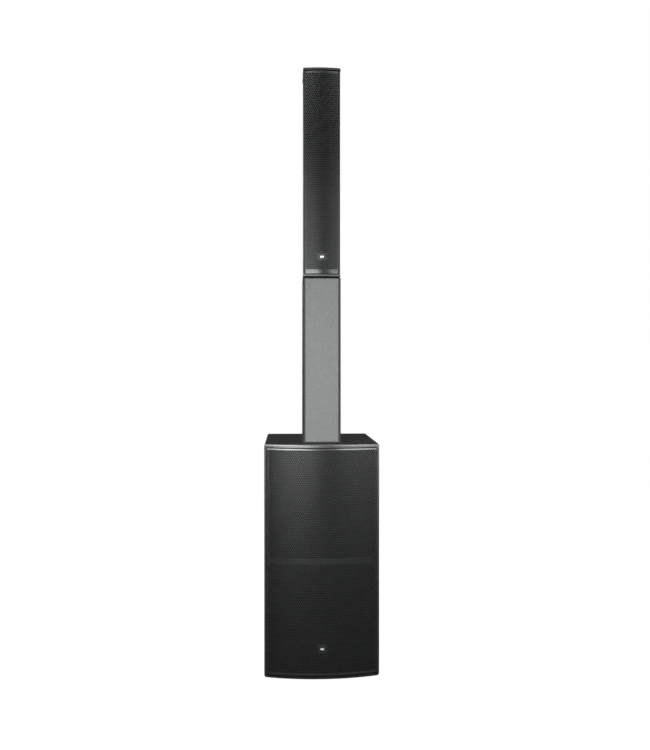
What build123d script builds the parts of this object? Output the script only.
from build123d import *
import math
import os

# A portable column loudspeaker: a bass cabinet on the floor, a spacer column plugged into its
# top, and a slim line-array cabinet plugged into the spacer. Millimetres, +Z up. The grilles
# face -Y. The origin is on the floor, at the middle of the footprint.

# ---- driving dimensions: bass cabinet ----
cabinet_width = 375.0
cabinet_height = 761.0
cabinet_depth = 450.0         # of the side panels, front edge to rear edge
cabinet_bow = 28.0            # how far the middle of the front stands ahead of its sides
panel = 15.0                  # plywood of the outer panels
thick_ply = 18.0              # plywood of the baffles and the middle shelf
foot_height = 9.0
front_lip = 6.0               # side panel edge left beside the grille
top_lip = 12.0                # panel edge above the grille
bottom_lip = 9.0              # panel edge below the grille
grille_gap = 1.0              # open joint round the grille, above and below it
rebate_depth = 12.0           # how far back the seat for the grille's edges reaches
rear_recess = 16.0            # rear panel behind the side panels' rear edges
baffle_setback = 24.0         # baffle behind the side panels' front edges
port_radius, port_wall, port_length = 28.5, 2.5, 140.0

# ---- driving dimensions: grilles ----
sheet = 1.2
grille_inset = 1.5            # grille behind the bowed panel edges
grille_bend = 4.0             # outside radius where the sheet turns back
grille_return = 9.0           # how far the turned sheet reaches back
foam_thickness = 8.0
badge_width, badge_height, badge_thickness = 22.0, 18.0, 1.2
cabinet_badge_height = 100.0  # badge centre above the cabinet's underside
array_badge_height = 63.0     # badge centre above the array's underside

# ---- driving dimensions: woofers, measured as radii and as depths behind the baffle ----
flange_radius, cutout_radius, flange_thickness = 156.0, 142.0, 6.0
cone_radius, former_radius = 128.0, 26.8
neck_depth, ledge_depth = 50.5, 64.0    # rear of the cone's neck; ledge that the spider is glued to
plate_depth, magnet_depth, yoke_depth = 79.0, 87.0, 107.0
screw_circle, screws_per_woofer = 150.0, 8
screw_radius, screw_length = 2.4, 13.0

# ---- driving dimensions: column ----
column_front = 4.0            # column front behind the side panels' front edges
column_depth = 130.0
spacer_width, spacer_height = 124.0, 540.0
column_wall = 3.0
spacer_foot_height, spacer_cap_height = 6.0, 2.0
insert_width, insert_depth = 107.5, 1.5
neck_height, neck_inset = 4.5, 3.0
array_width, array_height, array_bow = 119.5, 680.0, 6.0
array_cap_width = 122.5
array_foot_height, array_cap_height = 5.5, 8.0
array_side_wall = 4.5
array_baffle_setback, array_baffle_thickness = 16.0, 8.0
driver_count, driver_pitch = 8, 80.0

# ---- driving dimensions: plugs and sockets of the column ----
plug_width, plug_depth, plug_length = 84.0, 50.0, 28.0
plug_shift = 8.0              # plug behind the column's middle, clear of the baffle
plug_gap = 0.4                # clearance each side between plug and socket
socket_wall, socket_floor = 5.0, 5.0
pin_radius, sleeve_bore, sleeve_radius = 2.0, 2.3, 3.2
pin_length = 12.0

# ---- driving dimensions: amplifier ----
plate_width, plate_height, plate_thickness = 240.0, 320.0, 3.0
plate_middle = 585.0          # height of the plate's centre above the floor
opening_width, opening_height = 216.0, 296.0

# ---- places worked out from the dimensions above ----
front = -(cabinet_depth + cabinet_bow) / 2 + cabinet_bow
rear = front + cabinet_depth
half_width = cabinet_width / 2
inner_half = half_width - panel
cabinet_low = foot_height
cabinet_high = foot_height + cabinet_height
floor_inside = cabinet_low + panel
roof_inside = cabinet_high - panel
shelf_low = cabinet_low + (cabinet_height - thick_ply) / 2
shelf_high = shelf_low + thick_ply
baffle_front = front + baffle_setback
baffle_back = baffle_front + thick_ply
rear_panel_back = rear - rear_recess
rear_panel_front = rear_panel_back - panel
plate_face = rear_panel_back + plate_thickness
woofers = {
    "upper": (shelf_high + roof_inside) / 2,
    "lower": (floor_inside + shelf_low) / 2,
}
column_y = front + column_front
column_middle = column_y + column_depth / 2
plug_y = column_middle + plug_shift
spacer_low = cabinet_high
spacer_high = spacer_low + spacer_height
array_low = spacer_high + neck_height
array_high = array_low + array_height
array_body_low = array_low + array_foot_height
array_body_high = array_high - array_cap_height
array_baffle_front = column_y + array_baffle_setback
array_baffle_back = array_baffle_front + array_baffle_thickness
contact_places = [(-27.0, -12.0), (27.0, -12.0), (-27.0, 12.0), (27.0, 12.0)]


# ---------------------------------------------------------------- shapes used more than once
def block(x, y, z):
    """A box from its (low, high) range along each axis."""
    ranges = (x, y, z)
    size = [high - low for low, high in ranges]
    middle = [(low + high) / 2 for low, high in ranges]
    return Pos(*middle) * Box(*size)


def rounded_block(width, depth, radius, middle_y, z):
    """A box with rounded upright corners, centred on x = 0."""
    plan = RectangleRounded(width, depth, radius)
    return Pos(0, middle_y, z[0]) * extrude(plan, amount=z[1] - z[0])


def post(x, y, radius, z):
    """An upright cylinder between two heights."""
    return Pos(x, y, (z[0] + z[1]) / 2) * Cylinder(radius, z[1] - z[0])


def rod(x, z, radius, y):
    """A cylinder along Y between two depths."""
    return Pos(x, (y[0] + y[1]) / 2, z) * Rot(90, 0, 0) * Cylinder(radius, y[1] - y[0])


def bow_radius(width, bow):
    """Radius of the arc that rises by bow over a chord of this width."""
    return (width * width / 4 + bow * bow) / (2 * bow)


def bowed_face(width, y_front, y_rear, bow, front_round=0.0, rear_round=0.0):
    """Plan of a box whose front bulges by bow ahead of the line y = y_front."""
    half = width / 2
    left, right = (-half, y_front), (half, y_front)
    arc = ThreePointArc(left, (0, y_front - bow), right)
    sides = Polyline(right, (half, y_rear), (-half, y_rear), left)
    plan = Face(Wire([arc, *sides.edges()]))
    corners = plan.vertices().group_by(Axis.Y)
    if rear_round:
        plan = plan.fillet_2d(rear_round, corners[-1])
    if front_round:
        corners = [v for v in plan.vertices() if abs(v.Y - y_front) < 0.01]
        plan = plan.fillet_2d(front_round, corners)
    return plan


def prism(plan, low, high):
    """A plan drawn at z = 0, carried up between two heights."""
    return Pos(0, 0, low) * extrude(plan, amount=high - low, dir=(0, 0, 1))


def edges_at(solid, height):
    """The outline of a solid's flat top or bottom."""
    flat = solid.faces().filter_by(Axis.Z).sort_by(lambda face: abs(face.center().Z - height))[0]
    return flat.outer_wire().edges()


def turned(profile):
    """A ring or disc turned about the Y axis from (radius, depth) points."""
    return revolve(make_face(Polyline(*profile, close=True)), axis=Axis.Y)


def bowed_tray(width, y_edge, bow, z):
    """A bowed sheet whose four edges turn back, open at the rear."""
    low, high = z
    back = y_edge + grille_return
    outer = prism(bowed_face(width, y_edge, back, bow, grille_bend), low, high)
    inner_plan = bowed_face(width - 2 * sheet, y_edge + sheet, back + 1, bow, grille_bend - sheet)
    inner = prism(inner_plan, low + sheet, high - sheet)
    for height in (low, high):
        rim = [edge for edge in edges_at(outer, height) if edge.center().Y < back - 0.01]
        outer = fillet(rim, grille_bend)
    for height in (low + sheet, high - sheet):
        rim = [edge for edge in edges_at(inner, height) if edge.center().Y < back + 0.9]
        inner = fillet(rim, grille_bend - sheet)
    return outer - inner


def bowed_pad(width, y_edge, bow, z):
    """Foam that lies against the back of a bowed sheet."""
    ahead = bowed_face(width, y_edge, y_edge + 60, bow)
    behind = Pos(0, foam_thickness, 0) * ahead
    return prism(ahead - behind, *z)


def grouped(solids):
    """Separate solids kept together in one node."""
    return Compound(children=[solid for piece in solids for solid in piece.solids()])


# ---------------------------------------------------------------- bass cabinet: woodwork
cabinet_plan = bowed_face(cabinet_width, front, rear, cabinet_bow, 3.0, 5.0)


def grille_seat(z):
    """The space behind a panel's lip that the grille's edge takes up."""
    half = half_width - front_lip
    return block((-half, half), (front - cabinet_bow - 1, front + rebate_depth), z)


def top_panel():
    slab = prism(cabinet_plan, roof_inside, cabinet_high)
    slab = fillet(edges_at(slab, cabinet_high), 7.0)
    cup = rounded_block(
        plug_width + 2 * (plug_gap + socket_wall), plug_depth + 2 * (plug_gap + socket_wall),
        10.0, plug_y, (roof_inside - 1, cabinet_high + 1),
    )
    return slab - cup - socket_flange() - grille_seat((roof_inside - 1, cabinet_high - top_lip))


def bottom_panel():
    slab = prism(cabinet_plan, cabinet_low, floor_inside)
    slab = fillet(edges_at(slab, cabinet_low), 10.0)
    return slab - grille_seat((cabinet_low + bottom_lip, floor_inside + 1))


def side_panel(side):
    """The side on +X for side = 1, the one on -X for side = -1."""
    strip = prism(cabinet_plan, floor_inside, roof_inside)
    across = sorted((side * inner_half, side * (half_width + 1)))
    wood = strip & block(across, (front - cabinet_bow, rear + 1), (floor_inside, roof_inside))
    rebate = sorted((side * (inner_half - 1), side * (half_width - front_lip)))
    wood -= block(rebate, (front - cabinet_bow, front + rebate_depth), (floor_inside, roof_inside))
    return wood - handle_body(side)


def rear_panel():
    wood = block((-inner_half, inner_half), (rear_panel_front, rear_panel_back),
                 (floor_inside, roof_inside))
    opening = block(
        (-opening_width / 2, opening_width / 2), (rear_panel_front - 1, rear_panel_back + 1),
        (plate_middle - opening_height / 2, plate_middle + opening_height / 2),
    )
    wood -= opening
    for x, z in plate_screw_places():
        wood -= rod(x, z, 2.0, (rear_panel_front + 1, rear_panel_back + 1))
    return wood


def baffle(which):
    low, high = (shelf_high, roof_inside) if which == "upper" else (floor_inside, shelf_low)
    wood = block((-inner_half, inner_half), (baffle_front, baffle_back), (low, high))
    wood -= rod(0, woofers[which], cutout_radius, (baffle_front - 1, baffle_back + 1))
    for x, z in port_places(which):
        wood -= rod(x, z, port_radius + port_wall, (baffle_front - 1, baffle_back + 1))
    for x, z in woofer_screw_places(which):
        wood -= rod(x, z, screw_radius, (baffle_front - 1, baffle_front + screw_length))
    return wood


def middle_shelf():
    """Runs from the rear panel to just behind the grille, with a window beside each lead."""
    edge = front + grille_inset + sheet + 0.5
    plan = bowed_face(2 * inner_half, edge, rear_panel_front, cabinet_bow)
    wood = prism(plan, shelf_low, shelf_high)
    for x in (-82.0, 82.0):
        for y in (-72.0, 108.0):
            window = rounded_block(120.0, 140.0, 25.0, y, (shelf_low - 1, shelf_high + 1))
            wood -= Pos(x, 0, 0) * window
    return wood


def port_places(which):
    """Two ports, in the baffle's corners away from the middle shelf."""
    inset = port_radius + port_wall + 6.0
    z = roof_inside - inset if which == "upper" else floor_inside + inset
    return [(-inner_half + inset, z), (inner_half - inset, z)]


def port_tubes():
    tubes = []
    for which in woofers:
        for x, z in port_places(which):
            reach = (baffle_front - 2, baffle_front + port_length)
            tube = rod(x, z, port_radius + port_wall, reach) - rod(x, z, port_radius,
                                                                     (reach[0] - 1, reach[1] + 1))
            tubes.append(tube)
    return grouped(tubes)


def rubber_feet():
    feet = []
    for x in (-half_width + 42, half_width - 42):
        for y in (front + 45, rear - 45):
            foot = Pos(x, y, 0) * extrude(Circle(19), amount=foot_height, taper=-8)
            foot -= post(x, y, 6, (-1, 4))
            feet.append(foot)
    return grouped(feet)


# ---- handles: a moulded cup let into each side panel ----
handle_y, handle_z = 20.0, 560.0
handle_length, handle_tall, handle_deep, handle_wall = 150.0, 96.0, 52.0, 3.0


def handle_body(side):
    """The space that one handle takes out of its side panel."""
    across = sorted((side * (half_width + 1), side * (half_width - handle_deep)))
    cup = block(across, (-handle_length / 2, handle_length / 2), (-handle_tall / 2, handle_tall / 2))
    cup = fillet(cup.edges().filter_by(Axis.X), 22.0)
    return Pos(0, handle_y, handle_z) * cup


def side_handles():
    cups = []
    for side in (-1, 1):
        body = handle_body(side)
        outside = sorted((side * half_width, side * (half_width + 5)))
        body -= block(outside, (front, rear), (0, cabinet_high))
        hollow = sorted((side * (half_width + 1), side * (half_width - handle_deep + handle_wall)))
        inside = block(
            hollow,
            (-handle_length / 2 + handle_wall, handle_length / 2 - handle_wall),
            (-handle_tall / 2 + handle_wall, handle_tall / 2 - handle_wall),
        )
        inside = fillet(inside.edges().filter_by(Axis.X), 19.0)
        cups.append(body - Pos(0, handle_y, handle_z) * inside)
    return grouped(cups)


# ---------------------------------------------------------------- grilles, foam and badges
def cabinet_grille():
    z = (cabinet_low + bottom_lip + grille_gap, cabinet_high - top_lip - grille_gap)
    width = cabinet_width - 2 * front_lip - 1.0
    return bowed_tray(width, front + grille_inset, cabinet_bow, z)


def cabinet_foam():
    """Two pads, above and below the middle shelf's front edge."""
    width = 2 * inner_half - 4
    edge = front + grille_inset + sheet + 0.5
    low = floor_inside + 1
    high = roof_inside - 1
    pads = [
        bowed_pad(width, edge, cabinet_bow - 1.5, span)
        for span in ((low, shelf_low - 1), (shelf_high + 1, high))
    ]
    return grouped(pads)


def badge(width, y_edge, bow, z):
    """A small plate whose back follows the grille's bow."""
    skin = bowed_face(width, y_edge - badge_thickness, y_edge + 40, bow)
    skin = prism(skin, z - badge_height / 2, z + badge_height / 2)
    behind = prism(bowed_face(width, y_edge, y_edge + 41, bow), z - 20, z + 20)
    window = block((-badge_width / 2, badge_width / 2), (y_edge - 60, y_edge), (z - 9, z + 9))
    window = fillet(window.edges().filter_by(Axis.Y), 3.0)
    return (skin - behind) & window


# ---------------------------------------------------------------- woofers
def placed(solid, which):
    """Carries a piece turned about the Y axis to its woofer's place."""
    return Pos(0, baffle_front, woofers[which]) * solid


def woofer_screw_places(which):
    places = []
    for i in range(screws_per_woofer):
        turn = math.radians(360 * (i + 0.5) / screws_per_woofer)
        places.append((screw_circle * math.cos(turn), woofers[which] + screw_circle * math.sin(turn)))
    return places


def woofer_basket(which):
    wall = 4.0
    outside = [(flange_radius, -flange_thickness), (flange_radius, 0), (141, 0), (139, 20),
               (105, ledge_depth + wall), (86, ledge_depth + wall), (86, plate_depth),
               (30, plate_depth)]
    inside = [(30, plate_depth - wall), (82, plate_depth - wall), (82, ledge_depth),
              (102, ledge_depth), (136, 18), (138, -flange_thickness)]
    basket = turned(outside + inside)
    for i in range(6):
        window = block((96, 150), (23, ledge_depth - wall), (-38, 38))
        window = fillet(window.edges().filter_by(Axis.X), 10.0)
        basket -= Rot(0, 60 * i + 30, 0) * window
    basket = placed(basket, which)
    for x, z in woofer_screw_places(which):
        reach = (baffle_front - flange_thickness - 1, baffle_front + 1)
        basket -= rod(x, z, screw_radius + 0.2, reach)
    return basket


def woofer_surround():
    """A half roll between the cone's rim and a lip glued on the basket's flange."""
    middle, roll, skin = 134.6, 6.1, 1.0
    face = -flange_thickness
    crest = face - roll
    outer = ThreePointArc((middle - roll, face), (middle, crest), (middle + roll, face))
    inner = ThreePointArc((middle - roll + skin, face), (middle, crest + skin),
                          (middle + roll - skin, face))
    half_ring = Face(Wire([
        outer, inner,
        Line((middle - roll, face), (middle - roll + skin, face)),
        Line((middle + roll - skin, face), (middle + roll, face)),
    ]))
    lip = make_face(Polyline((middle + roll - 0.6, face), (145, face), (145, face - skin),
                             (middle + roll - 0.6, face - skin), close=True))
    return revolve(half_ring + lip, axis=Axis.Y)


def woofer_spider():
    """A corrugated disc from the former to the basket's ledge, behind the cone's rearmost travel."""
    first, last, waves, skin, swing = former_radius + 0.5, 98.0, 7, 0.8, 1.2
    step = (last - first) / (2 * waves)
    middle = ledge_depth - skin - swing - 0.8
    front_line = [(first + step * i, middle + (swing if i % 2 else -swing)) for i in range(2 * waves)]
    front_line.append((last, ledge_depth - skin))
    back_line = [(radius, depth + skin) for radius, depth in reversed(front_line)]
    return turned(front_line + back_line)


def woofer_magnet():
    return turned([(45, magnet_depth), (90, magnet_depth), (90, yoke_depth), (45, yoke_depth)])


def motor_steel():
    """Top plate, and the yoke with its hollow pole."""
    gap_outside, gap_inside, vent = 28.6, 23.8, 9.0
    top_plate = turned([(gap_outside, plate_depth), (78, plate_depth), (78, magnet_depth),
                        (gap_outside, magnet_depth)])
    yoke = turned([(vent, plate_depth - 1), (gap_inside, plate_depth - 1), (gap_inside, yoke_depth),
                   (84, yoke_depth), (84, yoke_depth + 10), (vent, yoke_depth + 10)])
    return [top_plate, yoke]


def woofer_cone():
    rim = -flange_thickness + 0.4
    return turned([(former_radius, neck_depth - 2.5), (cone_radius, rim), (cone_radius, rim + 1.6),
                   (former_radius, neck_depth)])


def woofer_dust_cap():
    """A shallow dome glued on the cone over the voice coil."""
    rim, rise, skin = 44.0, 15.0, 0.8
    throat = neck_depth - 2.5
    slope = (throat + flange_thickness - 0.4) / (cone_radius - former_radius)
    base = throat - (rim - former_radius) * slope
    curve = bow_radius(2 * rim, rise)
    shell = Pos(0, base - rise + curve, 0) * (Sphere(curve) - Sphere(curve - skin))
    return shell & Pos(0, base - rise / 2, 0) * Rot(90, 0, 0) * Cylinder(rim, rise)


def voice_coil():
    """The former, and the winding wound on its rear end."""
    bore, front_end, rear_end = former_radius - 0.9, neck_depth - 3.5, 96.0
    former = turned([(bore, front_end), (former_radius, front_end), (former_radius, rear_end),
                     (bore, rear_end)])
    wound, first, last = former_radius + 1.1, 74.0, 92.0
    winding = turned([(former_radius, first), (wound, first), (wound, last), (former_radius, last)])
    return former + winding


def woofer_screws():
    screws = []
    for which in woofers:
        for x, z in woofer_screw_places(which):
            face = baffle_front - flange_thickness
            head = rod(x, z, 4.6, (face - 3.2, face)) - Pos(x, face - 3.2, z) * Box(3.4, 3.6, 3.4)
            screws.append(head + rod(x, z, screw_radius, (face, baffle_front + screw_length)))
    return grouped(screws)


# ---------------------------------------------------------------- plugs and sockets
def socket_cup(top, z_low):
    """A moulded cup, open upwards, that a column plug slides into."""
    inner = (plug_width + 2 * plug_gap, plug_depth + 2 * plug_gap)
    outer = (inner[0] + 2 * socket_wall, inner[1] + 2 * socket_wall)
    cup = rounded_block(*outer, 10.0, plug_y, (z_low, top))
    return cup - rounded_block(*inner, 5.4, plug_y, (z_low + socket_floor, top + 1))


def socket_flange():
    return rounded_block(112.0, 84.0, 8.0, plug_y, (cabinet_high - 3, cabinet_high))


def pin_holes(solid, z, radius):
    for x, y in contact_places:
        solid -= post(x, plug_y + y, radius, z)
    return solid


def column_socket():
    low = cabinet_high - plug_length - 2 - socket_floor
    cup = socket_cup(cabinet_high, low)
    well = rounded_block(plug_width + 2 * plug_gap, plug_depth + 2 * plug_gap, 5.4, plug_y,
                         (low + socket_floor, cabinet_high + 1))
    cup = cup + (socket_flange() - well)
    return pin_holes(cup, (low - 1, low + socket_floor + 1), pin_radius)


def contact_pins(floor_top):
    """Four pins that stand up from a socket's floor."""
    pins = []
    for x, y in contact_places:
        pin = post(x, plug_y + y, pin_radius, (floor_top - socket_floor - 4, floor_top + pin_length))
        pins.append(fillet(pin.edges().sort_by(Axis.Z)[-1], 1.2))
    return grouped(pins)


def plug(top):
    """The tongue under a foot. Its holes take the contact sleeves."""
    tongue = rounded_block(plug_width, plug_depth, 5.0, plug_y, (top - plug_length, top))
    return chamfer(edges_at(tongue, top - plug_length), 1.5)


# ---------------------------------------------------------------- amplifier
def plate_screw_places():
    x, z = plate_width / 2 - 6, plate_height / 2 - 6
    return [(sx * x, plate_middle + sz * z) for sx in (-1, 0, 1) for sz in (-1, 1)] + [
        (-x, plate_middle), (x, plate_middle)]


socket_places = {"left": (-78.0, 500.0), "right": (-34.0, 500.0), "link": (10.0, 500.0)}
socket_bore, socket_body, shell_depth = 9.6, 11.9, 22.0
knob_places = {"left": (-78.0, 548.0), "right": (-34.0, 548.0), "bass": (10.0, 548.0)}
knob_radius, knob_height, shaft_radius, shaft_hole = 8.0, 11.0, 3.0, 3.4
button_place, button_radius = (44.0, 548.0), 3.0
light_places = [(34.0 + 8.0 * i, 500.0) for i in range(4)]
inlet_place = (88.0, 496.0)
inlet_width, inlet_height = 29.0, 60.0


def amplifier_plate():
    plate = block((-plate_width / 2, plate_width / 2), (rear_panel_back, plate_face),
                  (plate_middle - plate_height / 2, plate_middle + plate_height / 2))
    plate = fillet(plate.edges().filter_by(Axis.Y), 6.0)
    through = (rear_panel_back - 1, plate_face + 1)
    for x, z in socket_places.values():
        plate -= rod(x, z, socket_body + 0.2, through)
    for x, z in [*knob_places.values(), button_place]:
        plate -= rod(x, z, shaft_hole, through)
    for x, z in light_places:
        plate -= rod(x, z, 1.6, through)
    for x, z in plate_screw_places():
        plate -= rod(x, z, 2.0, through)
    x, z = inlet_place
    return plate - block((x - 13.2, x + 13.2), through, (z - 28.2, z + 28.2))


def heat_sink():
    """A finned block on the plate above the controls."""
    width, low, high, fins = 200.0, 590.0, 730.0, 17
    sink = block((-width / 2, width / 2), (plate_face, plate_face + 3), (low, high))
    pitch = (width - 2.4) / (fins - 1)
    for i in range(fins):
        x = -width / 2 + pitch * i
        sink += block((x, x + 2.4), (plate_face + 3, plate_face + 12), (low, high))
    return sink


def mains_inlet():
    """Inlet and switch module: a frame, a three-pin well below and a switch window above."""
    x, z = inlet_place
    frame = block((x - inlet_width / 2, x + inlet_width / 2), (plate_face, plate_face + 2.5),
                  (z - inlet_height / 2, z + inlet_height / 2))
    frame = fillet(frame.edges().filter_by(Axis.Y), 3.0)
    body = block((x - 13, x + 13), (plate_face - 26, plate_face), (z - 28, z + 28))
    well = block((x - 12, x + 12), (plate_face - 17, plate_face + 3), (z - 25, z - 9))
    window = block((x - 10.8, x + 10.8), (plate_face - 14, plate_face + 3), (z + 5.4, z + 26.6))
    shell = frame + body - well - window
    blades = [
        block((x + dx - 1, x + dx + 1), (plate_face - 17, plate_face - 4.6),
              (z - 17 + dz - 2, z - 17 + dz + 2))
        for dx, dz in ((-7, 2), (7, 2), (0, -2))
    ]
    return grouped([shell, *blades])


rocker_tilt = 8.0
rocker_pivot = (plate_face - 3.5, inlet_place[1] + 16.0)


def power_rocker():
    """Two flats that meet in a shallow V, tipped to its off position, on short trunnions."""
    reach, crown, depth = 9.4, 4.6, 5.0
    rise = reach * math.tan(math.radians(rocker_tilt))
    side_view = make_face(Polyline(
        (crown, 0), (crown + rise, reach), (-depth, reach - 3), (-depth, 3 - reach),
        (crown + rise, -reach), close=True))
    body = extrude(Plane.YZ * side_view, amount=10.2, both=True)
    trunnion = Rot(0, 90, 0) * Cylinder(1.5, 21.2)
    rocker = Rot(-rocker_tilt, 0, 0) * (body + trunnion)
    return Pos(inlet_place[0], *rocker_pivot) * rocker


def line_sockets():
    """Two combined input sockets with a core inside, and a link socket with three pins."""
    shells = []
    for name, (x, z) in socket_places.items():
        flange = block((x - 13, x + 13), (plate_face, plate_face + 2), (z - 15.5, z + 15.5))
        flange = fillet(flange.edges().filter_by(Axis.Y), 3.0)
        barrel = rod(x, z, socket_body, (plate_face - shell_depth, plate_face))
        shell = flange + barrel - rod(x, z, socket_bore, (plate_face - 14, plate_face + 3))
        if name == "link":
            for turn in (30, 150, 270):
                px, pz = 5.2 * math.cos(math.radians(turn)), 5.2 * math.sin(math.radians(turn))
                shell += rod(x + px, z + pz, 1.2, (plate_face - 15, plate_face - 6))
        else:
            core = rod(x, z, 8.2, (plate_face - 15, plate_face - 6))
            shell += core - rod(x, z, 3.2, (plate_face - 14, plate_face))
            px, pz = x, z + 12.6
            shell -= block((px - 3.3, px + 3.3), (plate_face, plate_face + 3),
                           (pz - 1.8, pz + 1.8))
        shells.append(shell)
    return grouped(shells)


def latch(name):
    """The press tab that frees a plug from its input socket."""
    x, z = socket_places[name]
    tab = block((x - 3.0, x + 3.0), (plate_face + 1.7, plate_face + 4.4), (z + 11.1, z + 14.1))
    return fillet(tab.edges().filter_by(Axis.Y), 0.8)


def knob(name):
    """A skirted knob with a pointer groove, on its shaft."""
    x, z = knob_places[name]
    base = plate_face + 0.5
    skirt = rod(x, z, knob_radius, (base, base + 2.5))
    grip = rod(x, z, knob_radius - 1.6, (base + 2.5, base + knob_height))
    grip = chamfer(grip.edges().sort_by(Axis.Y)[-1], 0.8)
    pointer = block((x - 0.5, x + 0.5), (base + knob_height - 1, base + knob_height + 1),
                    (z, z + knob_radius))
    shaft = rod(x, z, shaft_radius, (plate_face - 12, base))
    return skirt + grip - pointer + shaft


def mode_button():
    x, z = button_place
    stem = rod(x, z, button_radius, (plate_face - 8, plate_face + 4.5))
    return chamfer(stem.edges().sort_by(Axis.Y)[-1], 0.6)


def amplifier_board():
    """Circuit board behind the plate with its potentiometers, transformer and capacitors."""
    deep = plate_face - 34
    board = block((-100, 100), (deep - 1.6, deep), (445, 725))
    parts = [board]
    for x, z in knob_places.values():
        pot = block((x - 6, x + 6), (plate_face - 14, plate_face - 7), (z - 6, z + 6))
        parts.append(pot - rod(x, z, shaft_hole, (plate_face - 12.4, plate_face)))
    parts.append(block((-90, -30), (deep, deep + 24), (640, 700)))
    for x in (0.0, 34.0, 68.0):
        parts.append(rod(x, 670, 14, (deep, deep + 26)))
    for x in (-70.0, 70.0):
        parts.append(block((x - 12, x + 12), (deep, deep + 18), (590, 620)))
    for x, z in ((-94, 452), (94, 452), (-94, 718), (94, 718)):
        parts.append(rod(x, z, 3, (deep, rear_panel_back)))
    return grouped(parts)


def plate_screws():
    screws = []
    for x, z in plate_screw_places():
        head = rod(x, z, 4.0, (plate_face, plate_face + 2.4))
        head -= Pos(x, plate_face + 2.4, z) * Box(2.4, 2.6, 2.4)
        screws.append(head + rod(x, z, 2.0, (rear_panel_front + 1, plate_face)))
    return grouped(screws)


def lead(points, radius=2.5):
    """A lead along straight runs joined by arcs."""
    spots = [Vector(*point) for point in points]
    bends = []
    for before, here, after in zip(spots, spots[1:], spots[2:]):
        turn = math.radians((here - before).get_angle(after - here))
        shorter = min((here - before).length, (after - here).length)
        bends.append(0.45 * shorter / math.tan(turn / 2))
    route = FilletPolyline(*spots, radius=bends)
    section = Plane(origin=route @ 0, z_dir=route % 0) * Circle(radius)
    return sweep(section, path=route)


def speaker_leads():
    """From the amplifier board to each woofer's frame and to the column socket."""
    board = plate_face - 37.0
    terminal = baffle_front + ledge_depth + 4.5
    upper = [(96, board, 560), (98, 150, 562), (104, 100, 572), (110, 50, 584), (110, 0, 590),
             (104, -50, 588), (99, -92, 583), (97, terminal, 580)]
    lower = [(84, board, 470), (86, 158, 462), (90, 128, 436), (92, 104, 396), (92, 92, 350),
             (94, 70, 300), (98, 30, 262), (101, -20, 236), (101, -62, 218), (99, -94, 209),
             (97, terminal, 206)]
    socket = [(20, board, 716), (20, 150, 718), (14, 100, 722), (4, 50, 724), (-6, 0, 722),
              (-8, -40, 718), (-6, -80, 716), (-2, -108, 720), (0, plug_y, 731)]
    return grouped([lead(upper), lead(lower), lead(socket)])


# ---------------------------------------------------------------- spacer column
def spacer_plan(shrink):
    """The column's plan, drawn in by shrink on every side."""
    plan = RectangleRounded(spacer_width - 2 * shrink, column_depth - 2 * shrink,
                            max(5.0 - shrink, 1.5))
    return Pos(0, column_middle) * plan


def spacer_housing():
    low, high = spacer_low + spacer_foot_height, spacer_high - spacer_cap_height
    tube = prism(spacer_plan(0), low, high) - prism(spacer_plan(column_wall), low - 1, high + 1)
    recess = block((-insert_width / 2, insert_width / 2), (column_y - 1, column_y + insert_depth),
                   (low - 1, high + 1))
    return tube - recess


def spacer_front_panel():
    low, high = spacer_low + spacer_foot_height, spacer_high - spacer_cap_height
    return block((-insert_width / 2, insert_width / 2),
                 (column_y + 0.3, column_y + insert_depth), (low, high))


def spacer_foot():
    """Base plate, a tongue up into the housing and a plug down into the bass cabinet."""
    plate = prism(spacer_plan(0), spacer_low, spacer_low + spacer_foot_height)
    plate = fillet(edges_at(plate, spacer_low), 4.5)
    tongue = prism(spacer_plan(column_wall + 0.3), spacer_low + spacer_foot_height,
                   spacer_low + spacer_foot_height + 12)
    foot = plate + tongue + plug(spacer_low)
    return pin_holes(foot, (spacer_low - plug_length - 1, spacer_low + 40), sleeve_radius)


def spacer_top_cap():
    top = spacer_high
    floor = top - plug_length - 2 - socket_floor
    plate = prism(spacer_plan(0), top - spacer_cap_height, top)
    tongue = prism(spacer_plan(column_wall + 0.3), top - spacer_cap_height - 8,
                   top - spacer_cap_height)
    well = rounded_block(plug_width + 2 * plug_gap, plug_depth + 2 * plug_gap, 5.4, plug_y,
                         (floor + socket_floor, top + 1))
    cap = plate + tongue - well + socket_cup(top - 1, floor)
    return pin_holes(cap, (floor - 1, floor + socket_floor + 1), sleeve_radius)


def spacer_conductors():
    """Rods from sleeves in the spacer's plug to pins in its top socket."""
    low = spacer_low - plug_length
    floor_top = spacer_high - plug_length - 2
    rods = []
    for x, y in contact_places:
        y += plug_y
        core = post(x, y, sleeve_radius, (low, floor_top))
        core -= post(x, y, sleeve_bore, (low - 1, low + pin_length + 2))
        pin = post(x, y, pin_radius, (floor_top, floor_top + pin_length))
        rods.append(core + fillet(pin.edges().sort_by(Axis.Z)[-1], 1.2))
    return grouped(rods)


# ---------------------------------------------------------------- line array
def array_housing():
    """Extrusion: two thick sides, a thin back with rounded corners, open at the front."""
    outer = bowed_face(array_width, column_y, column_y + column_depth, array_bow, 1.5, 8.0)
    half = array_width / 2 - array_side_wall
    tube = prism(outer, array_body_low, array_body_high)
    tube -= block((-half, half), (column_y - array_bow - 1, column_y + column_depth - column_wall),
                  (array_body_low - 1, array_body_high + 1))
    return tube


def array_plan(grow):
    return bowed_face(array_width + 2 * grow, column_y - grow, column_y + column_depth + grow,
                      array_bow, 3.0, 8.0 + grow)


def array_tongue(z):
    """The part of a cap that reaches into the housing, behind the baffle."""
    half = array_width / 2 - array_side_wall - 0.3
    return block((-half, half), (array_baffle_back + 0.3, column_y + column_depth - 3.3), z)


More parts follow.
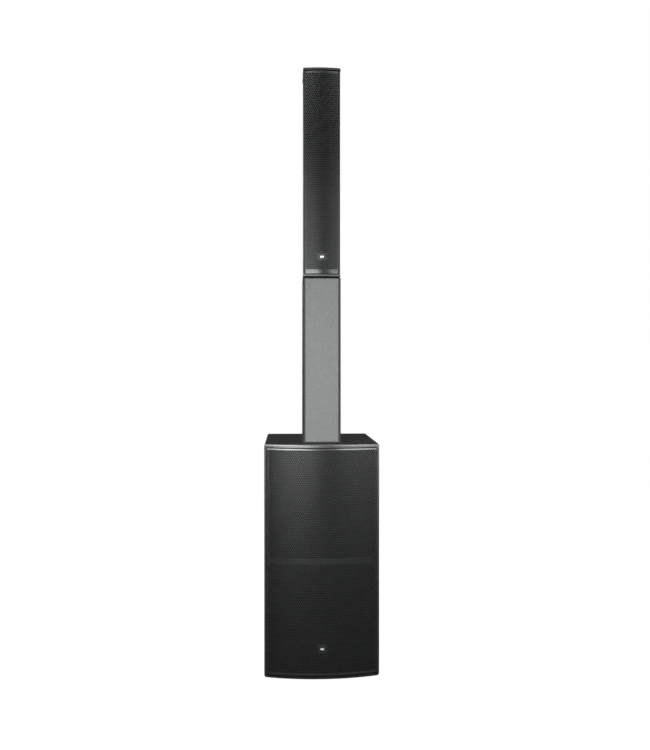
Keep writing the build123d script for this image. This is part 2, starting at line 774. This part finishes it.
def array_top_cap():
    grow = (array_cap_width - array_width) / 2
    cap = prism(array_plan(grow), array_body_high, array_high)
    cap = fillet(edges_at(cap, array_high), 5.0)
    return cap + array_tongue((array_body_high - 8, array_body_high))


def array_foot():
    """Bottom cap with a neck that stands on the spacer and a plug below it."""
    grow = (array_cap_width - array_width) / 2
    cap = prism(array_plan(grow), array_low, array_body_low)
    cap = fillet(edges_at(cap, array_low), 1.5)
    neck = prism(spacer_plan(neck_inset + 1.5), spacer_high, array_low)
    foot = cap + array_tongue((array_body_low, array_body_low + 8)) + neck + plug(spacer_high)
    return pin_holes(foot, (spacer_high - plug_length - 1, spacer_high - 6), sleeve_radius)


def array_contacts():
    """Sleeves in the array's plug that slide over the spacer's pins."""
    low, high = spacer_high - plug_length, spacer_high - 6
    sleeves = []
    for x, y in contact_places:
        y += plug_y
        sleeve = post(x, y, sleeve_radius, (low, high))
        sleeves.append(sleeve - post(x, y, sleeve_bore, (low - 1, low + pin_length + 2)))
    return grouped(sleeves)


def driver_heights():
    middle = (array_body_low + array_body_high) / 2
    return [middle + driver_pitch * (i - (driver_count - 1) / 2) for i in range(driver_count)]


def array_baffle():
    half = array_width / 2 - array_side_wall
    plate = block((-half, half), (array_baffle_front, array_baffle_back),
                  (array_body_low, array_body_high))
    for z in driver_heights():
        plate -= rod(0, z, 35, (array_baffle_front - 1, array_baffle_back + 1))
    return plate


def per_driver(solid):
    """One copy of a turned piece for each driver of the array."""
    return grouped([Pos(0, array_baffle_front, z) * solid for z in driver_heights()])


def array_baskets():
    basket = turned([(39, -3), (39, 0), (34.5, 0), (33.5, 8), (20, 30), (20, 34), (10, 34), (10, 32),
                     (18, 32), (18, 29), (31, 8), (33, -3)])
    for i in range(4):
        basket -= Rot(0, 90 * i + 45, 0) * block((20, 40), (10, 26), (-10, 10))
    return per_driver(basket)


def array_magnets():
    return per_driver(turned([(12, 34), (27, 34), (27, 50), (4, 50), (4, 46), (12, 46)]))


def array_surrounds():
    roll = turned([(29.3, -3), (30, -4.6), (31.2, -5.4), (32.4, -4.6), (33.2, -3.8), (35.5, -3.8),
                   (35.5, -3), (33, -3), (32.2, -3.8), (31.2, -4.5), (30.4, -3.9), (29.9, -3)])
    return per_driver(roll)


def array_cones():
    """Cone with its cap and former as one moving piece per driver."""
    cone = turned([(29, -3.2), (29, -2.4), (9.4, 21.0), (9.4, 36.0), (8.8, 36.0), (8.8, 20.2),
                   (11.5, 17.0), (8, 14.4), (4, 13.0), (0, 12.6), (0, 11.8), (4.2, 12.2),
                   (8.4, 13.7), (12.1, 16.2)])
    return per_driver(cone)


def array_grille():
    width = array_width - 2 * array_side_wall - 1.0
    return bowed_tray(width, column_y + grille_inset / 2, array_bow,
                      (array_body_low + 0.6, array_body_high - 0.6))


def array_foam():
    width = array_width - 2 * array_side_wall - 5.0
    edge = column_y + grille_inset / 2 + sheet + 0.3
    return bowed_pad(width, edge, array_bow - 0.8, (array_body_low + 5, array_body_high - 5))


# ---------------------------------------------------------------- every node of the object
def nodes():
    """Yields each node's name and its solid or group of solids."""
    yield "top_panel", top_panel()
    yield "bottom_panel", bottom_panel()
    yield "side_panel_left", side_panel(-1)
    yield "side_panel_right", side_panel(1)
    yield "rear_panel", rear_panel()
    yield "middle_shelf", middle_shelf()
    yield "port_tubes", port_tubes()
    yield "rubber_feet", rubber_feet()
    yield "side_handles", side_handles()
    yield "cabinet_grille", cabinet_grille()
    yield "cabinet_foam", cabinet_foam()
    yield "cabinet_badge", badge(cabinet_width - 2 * front_lip - 1, front + grille_inset,
                                 cabinet_bow, cabinet_low + cabinet_badge_height)

    static = {"surrounds": [woofer_surround()], "spiders": [woofer_spider()],
              "magnets": [woofer_magnet()], "motor_steel": motor_steel()}
    for kind, solids in static.items():
        copies = [placed(solid, which) for which in woofers for solid in solids]
        yield f"woofer_{kind}", grouped(copies)
    for which in woofers:
        yield f"{which}_baffle", baffle(which)
        yield f"{which}_basket", woofer_basket(which)
        yield f"{which}_cone", placed(woofer_cone(), which)
        yield f"{which}_dust_cap", placed(woofer_dust_cap(), which)
        yield f"{which}_voice_coil", placed(voice_coil(), which)
    yield "woofer_screws", woofer_screws()

    yield "column_socket", column_socket()
    yield "socket_pins", contact_pins(cabinet_high - plug_length - 2)

    yield "amplifier_plate", amplifier_plate()
    yield "heat_sink", heat_sink()
    yield "mains_inlet", mains_inlet()
    yield "power_rocker", power_rocker()
    yield "line_sockets", line_sockets()
    for name in ("left", "right"):
        yield f"{name}_latch", latch(name)
    for name in knob_places:
        yield f"{name}_knob", knob(name)
    yield "mode_button", mode_button()
    yield "amplifier_board", amplifier_board()
    yield "plate_screws", plate_screws()
    yield "speaker_leads", speaker_leads()

    yield "spacer_housing", spacer_housing()
    yield "spacer_front_panel", spacer_front_panel()
    yield "spacer_foot", spacer_foot()
    yield "spacer_top_cap", spacer_top_cap()
    yield "spacer_conductors", spacer_conductors()

    yield "array_housing", array_housing()
    yield "array_top_cap", array_top_cap()
    yield "array_foot", array_foot()
    yield "array_contacts", array_contacts()
    yield "array_baffle", array_baffle()
    yield "array_baskets", array_baskets()
    yield "array_magnets", array_magnets()
    yield "array_surrounds", array_surrounds()
    yield "array_cones", array_cones()
    yield "array_grille", array_grille()
    yield "array_foam", array_foam()
    yield "array_badge", badge(array_width - 2 * array_side_wall - 1, column_y + grille_inset / 2,
                               array_bow, array_low + array_badge_height)


os.makedirs("parts", exist_ok=True)
for node_name, shape in nodes():
    export_step(shape, f"parts/{node_name}.step")
    print(node_name, len(shape.solids()), "solids")
